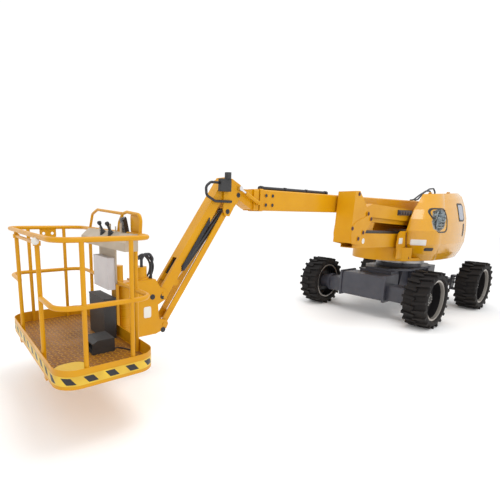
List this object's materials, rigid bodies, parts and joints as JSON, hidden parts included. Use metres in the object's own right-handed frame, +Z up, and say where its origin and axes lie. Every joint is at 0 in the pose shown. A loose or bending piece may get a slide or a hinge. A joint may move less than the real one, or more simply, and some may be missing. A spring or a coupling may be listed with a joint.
{
  "type": "boom lift",
  "caption": "Rough-terrain articulated boom lift with folding arms, telescopic boom, jib and rotating work basket.",
  "frame": {"origin": "on the ground under the middle of the stowed length and width", "axes": "+X from the turret towards the basket, along the stowed boom, +Y to the left, +Z up"},
  "size_m": [8.3277, 2.336, 2.3635],
  "materials": {
    "yellow_paint": "semi-gloss",
    "charcoal_paint": "satin",
    "tyre_rubber": "matte",
    "rim_paint": "dusty satin",
    "black_paint": "gloss",
    "chrome_rod": "polished",
    "black_plastic": "textured",
    "grey_plastic": "satin"
  },
  "bodies": {
    "chassis": {"chassis_frame": "charcoal_paint", "fixed_axle": "charcoal_paint", "steer_axle": "charcoal_paint", "slew_ring": "charcoal_paint", "steer_cylinder_barrel": "black_paint"},
    "wheel_front_left": {"tyre_front_left": "tyre_rubber", "rim_front_left": "rim_paint"},
    "wheel_front_right": {"tyre_front_right": "tyre_rubber", "rim_front_right": "rim_paint"},
    "wheel_rear_left": {"tyre_rear_left": "tyre_rubber", "rim_rear_left": "rim_paint"},
    "wheel_rear_right": {"tyre_rear_right": "tyre_rubber", "rim_rear_right": "rim_paint"},
    "knuckle_left": {"knuckle_left": "charcoal_paint"},
    "knuckle_right": {"knuckle_right": "charcoal_paint"},
    "tie_rod": {"tie_rod": "charcoal_paint"},
    "steer_cylinder_rod": {"steer_cylinder_rod": "chrome_rod"},
    "turret": {"turret_base": "yellow_paint", "counterweight": "charcoal_paint", "engine_block": "charcoal_paint", "tank_block": "charcoal_paint"},
    "hood_left": {"hood_left": "yellow_paint", "hood_grille": "charcoal_paint"},
    "hood_right": {"hood_right": "yellow_paint"},
    "lower_arm": {"lower_arm": "yellow_paint"},
    "lower_tie": {"lower_tie": "black_paint"},
    "mid_knuckle": {"mid_knuckle": "yellow_paint"},
    "upper_arm": {"upper_arm": "yellow_paint", "arm_valve": "black_paint"},
    "upper_tie": {"upper_tie": "yellow_paint"},
    "upper_knuckle": {"upper_knuckle": "yellow_paint"},
    "lift_cylinder_barrel": {"lift_cylinder_barrel": "black_paint"},
    "lift_cylinder_rod": {"lift_cylinder_rod": "chrome_rod"},
    "boom_cylinder_barrel": {"boom_cylinder_barrel": "black_paint"},
    "boom_cylinder_rod": {"boom_cylinder_rod": "chrome_rod"},
    "outer_boom": {"outer_boom": "yellow_paint", "hose_tube": "black_plastic", "boom_hoses": "black_plastic"},
    "inner_boom": {"inner_boom": "yellow_paint"},
    "level_cylinder_barrel": {"level_cylinder_barrel": "black_paint"},
    "level_cylinder_rod": {"level_cylinder_rod": "chrome_rod"},
    "jib_head": {"jib_head": "yellow_paint", "head_valve": "black_plastic", "head_hose": "black_plastic"},
    "jib_beam": {"jib_beam": "yellow_paint"},
    "jib_tie": {"jib_tie": "yellow_paint"},
    "jib_cylinder_barrel": {"jib_cylinder_barrel": "black_paint"},
    "jib_cylinder_rod": {"jib_cylinder_rod": "chrome_rod"},
    "platform_bracket": {"platform_bracket": "yellow_paint", "rotator": "yellow_paint", "bracket_hose": "black_plastic"},
    "basket": {"basket_mount": "yellow_paint", "basket_floor": "yellow_paint", "basket_rails": "yellow_paint", "console": "grey_plastic", "foot_switch": "black_plastic", "document_box": "grey_plastic", "tool_box": "black_plastic", "foot_switch_cable": "black_plastic"},
    "gate_bar": {"gate_bar": "yellow_paint"}
  },
  "joints": [
    {"name": "front_left_spin", "type": "hinge", "parent": "chassis", "child": "wheel_front_left", "pos_m": [-1.5325, 0.99, 0.46], "axis": [0, 1, 0], "continuous": true},
    {"name": "front_right_spin", "type": "hinge", "parent": "chassis", "child": "wheel_front_right", "pos_m": [-1.5325, -0.99, 0.46], "axis": [0, 1, 0], "continuous": true},
    {"name": "rear_left_spin", "type": "hinge", "parent": "knuckle_left", "child": "wheel_rear_left", "pos_m": [-3.7025, 0.99, 0.46], "axis": [0, 1, 0], "continuous": true},
    {"name": "rear_right_spin", "type": "hinge", "parent": "knuckle_right", "child": "wheel_rear_right", "pos_m": [-3.7025, -0.99, 0.46], "axis": [0, 1, 0], "continuous": true},
    {"name": "steer_left", "type": "hinge", "parent": "chassis", "child": "knuckle_left", "pos_m": [-3.7025, 0.74, 0.46], "axis": [0, 0, 1], "range_deg": [-35, 35]},
    {"name": "steer_right", "type": "hinge", "parent": "chassis", "child": "knuckle_right", "pos_m": [-3.7025, -0.74, 0.46], "axis": [0, 0, 1], "range_deg": [-35, 35]},
    {"name": "tie_rod_pivot", "type": "hinge", "parent": "knuckle_left", "child": "tie_rod", "pos_m": [-3.8925, 0.74, 0.46], "axis": [0, 0, 1], "range_deg": [-35, 35]},
    {"name": "steer_rod_slide", "type": "slide", "parent": "chassis", "child": "steer_cylinder_rod", "axis": [0, 1, 0], "range_m": [-0.09, 0.09]},
    {"name": "slew", "type": "hinge", "parent": "chassis", "child": "turret", "pos_m": [-2.6175, 0, 0.9], "axis": [0, 0, 1], "continuous": true},
    {"name": "hood_left_open", "type": "hinge", "parent": "turret", "child": "hood_left", "pos_m": [-2.49767, 0.456, 2.19462], "axis": [0.9986, 0, -0.0532], "range_deg": [0, 65]},
    {"name": "hood_right_open", "type": "hinge", "parent": "turret", "child": "hood_right", "pos_m": [-2.49757, -0.186, 2.05681], "axis": [-0.9994, 0, 0.0349], "range_deg": [0, 65]},
    {"name": "arm_lift", "type": "hinge", "parent": "turret", "child": "lower_arm", "pos_m": [-3.3675, 0.28, 1.34], "axis": [0, -1, 0], "range_deg": [0, 70]},
    {"name": "lower_tie_pivot", "type": "hinge", "parent": "turret", "child": "lower_tie", "pos_m": [-3.4875, 0.28, 1.43], "axis": [0, -1, 0], "range_deg": [0, 70]},
    {"name": "mid_knuckle_level", "type": "hinge", "parent": "lower_arm", "child": "mid_knuckle", "pos_m": [-0.3075, 0.28, 1.43], "axis": [0, -1, 0], "range_deg": [-70, 0]},
    {"name": "upper_arm_lift", "type": "hinge", "parent": "mid_knuckle", "child": "upper_arm", "pos_m": [-0.5275, 0.28, 1.8], "axis": [0, -1, 0], "range_deg": [-70, 0]},
    {"name": "upper_tie_pivot", "type": "hinge", "parent": "mid_knuckle", "child": "upper_tie", "pos_m": [-0.6185, 0.28, 1.723], "axis": [0, -1, 0], "range_deg": [-70, 0]},
    {"name": "upper_knuckle_level", "type": "hinge", "parent": "upper_arm", "child": "upper_knuckle", "pos_m": [-3.37359, 0.28, 1.65084], "axis": [0, -1, 0], "range_deg": [0, 70]},
    {"name": "lift_cylinder_pivot", "type": "hinge", "parent": "turret", "child": "lift_cylinder_barrel", "pos_m": [-2.8175, 0.28, 1.112], "axis": [0, -1, 0], "range_deg": [-0.5, 82.09]},
    {"name": "lift_cylinder_stroke", "type": "slide", "parent": "lift_cylinder_barrel", "child": "lift_cylinder_rod", "axis": [0.9987, 0, 0.0504], "range_m": [-0.002, 0.63012]},
    {"name": "boom_lift", "type": "hinge", "parent": "upper_knuckle", "child": "outer_boom", "pos_m": [-3.5175, 0, 1.94], "axis": [0, -1, 0], "range_deg": [0, 75]},
    {"name": "boom_cylinder_pivot", "type": "hinge", "parent": "upper_knuckle", "child": "boom_cylinder_barrel", "pos_m": [-3.1775, 0, 1.54], "axis": [0, -1, 0], "range_deg": [-0.5, 73.81]},
    {"name": "boom_cylinder_stroke", "type": "slide", "parent": "boom_cylinder_barrel", "child": "boom_cylinder_rod", "axis": [0.9905, 0, 0.1376], "range_m": [-0.002, 0.63952]},
    {"name": "telescope", "type": "slide", "parent": "outer_boom", "child": "inner_boom", "axis": [1, 0, 0], "range_m": [0, 3.6]},
    {"name": "head_level", "type": "hinge", "parent": "inner_boom", "child": "jib_head", "pos_m": [1.8225, 0, 1.985], "axis": [0, -1, 0], "range_deg": [-75, 0]},
    {"name": "level_cylinder_pivot", "type": "hinge", "parent": "inner_boom", "child": "level_cylinder_barrel", "pos_m": [1.5125, 0.13, 1.905], "axis": [0, -1, 0], "range_deg": [-12.21, 0.5]},
    {"name": "level_cylinder_stroke", "type": "slide", "parent": "level_cylinder_barrel", "child": "level_cylinder_rod", "axis": [0.8921, 0, 0.4519], "range_m": [-0.002, 0.05413]},
    {"name": "jib_lift", "type": "hinge", "parent": "jib_head", "child": "jib_beam", "pos_m": [1.9825, 0, 2.12], "axis": [0, -1, 0], "range_deg": [-15, 125]},
    {"name": "jib_tie_pivot", "type": "hinge", "parent": "jib_head", "child": "jib_tie", "pos_m": [1.9825, 0, 1.79], "axis": [0, -1, 0], "range_deg": [-15, 125]},
    {"name": "bracket_level", "type": "hinge", "parent": "jib_beam", "child": "platform_bracket", "pos_m": [2.83885, 0, 0.89701], "axis": [0, -1, 0], "range_deg": [-125, 15]},
    {"name": "jib_cylinder_pivot", "type": "hinge", "parent": "jib_head", "child": "jib_cylinder_barrel", "pos_m": [1.9825, 0, 1.79], "axis": [0, -1, 0], "range_deg": [-14.91, 120.61]},
    {"name": "jib_cylinder_stroke", "type": "slide", "parent": "jib_cylinder_barrel", "child": "jib_cylinder_rod", "axis": [0.6568, 0, -0.754], "range_m": [-0.071, 0.57697]},
    {"name": "platform_rotate", "type": "hinge", "parent": "platform_bracket", "child": "basket", "pos_m": [3.2475, 0, 0.56], "axis": [0, 0, 1], "range_deg": [-90, 90]},
    {"name": "gate_lift", "type": "slide", "parent": "basket", "child": "gate_bar", "axis": [0, 0, 1], "range_m": [-0.383, 0]}
  ],
  "couplings": [
    {"joint": "steer_right", "follows": "steer_left", "ratio": 1},
    {"joint": "tie_rod_pivot", "follows": "steer_left", "ratio": -1},
    {"joint": "steer_rod_slide", "follows": "steer_left", "m_per_rad": -0.14084},
    {"joint": "lower_tie_pivot", "follows": "arm_lift", "ratio": 1},
    {"joint": "mid_knuckle_level", "follows": "arm_lift", "ratio": -1},
    {"joint": "upper_arm_lift", "follows": "arm_lift", "ratio": -1},
    {"joint": "upper_tie_pivot", "follows": "arm_lift", "ratio": -1},
    {"joint": "upper_knuckle_level", "follows": "arm_lift", "ratio": 1},
    {"joint": "lift_cylinder_pivot", "follows": "arm_lift", "ratio": 1.1655},
    {"joint": "lift_cylinder_stroke", "follows": "arm_lift", "m_per_rad": 0.51412},
    {"joint": "boom_cylinder_pivot", "follows": "boom_lift", "ratio": 0.97752},
    {"joint": "boom_cylinder_stroke", "follows": "boom_lift", "m_per_rad": 0.48703},
    {"joint": "head_level", "follows": "boom_lift", "ratio": -1},
    {"joint": "level_cylinder_pivot", "follows": "boom_lift", "ratio": -0.15617},
    {"joint": "level_cylinder_stroke", "follows": "boom_lift", "m_per_rad": 0.039822},
    {"joint": "jib_tie_pivot", "follows": "jib_lift", "ratio": 1},
    {"joint": "bracket_level", "follows": "jib_lift", "ratio": -1},
    {"joint": "jib_cylinder_pivot", "follows": "jib_lift", "ratio": 0.96089},
    {"joint": "jib_cylinder_stroke", "follows": "jib_lift", "m_per_rad": 0.26355}
  ]
}
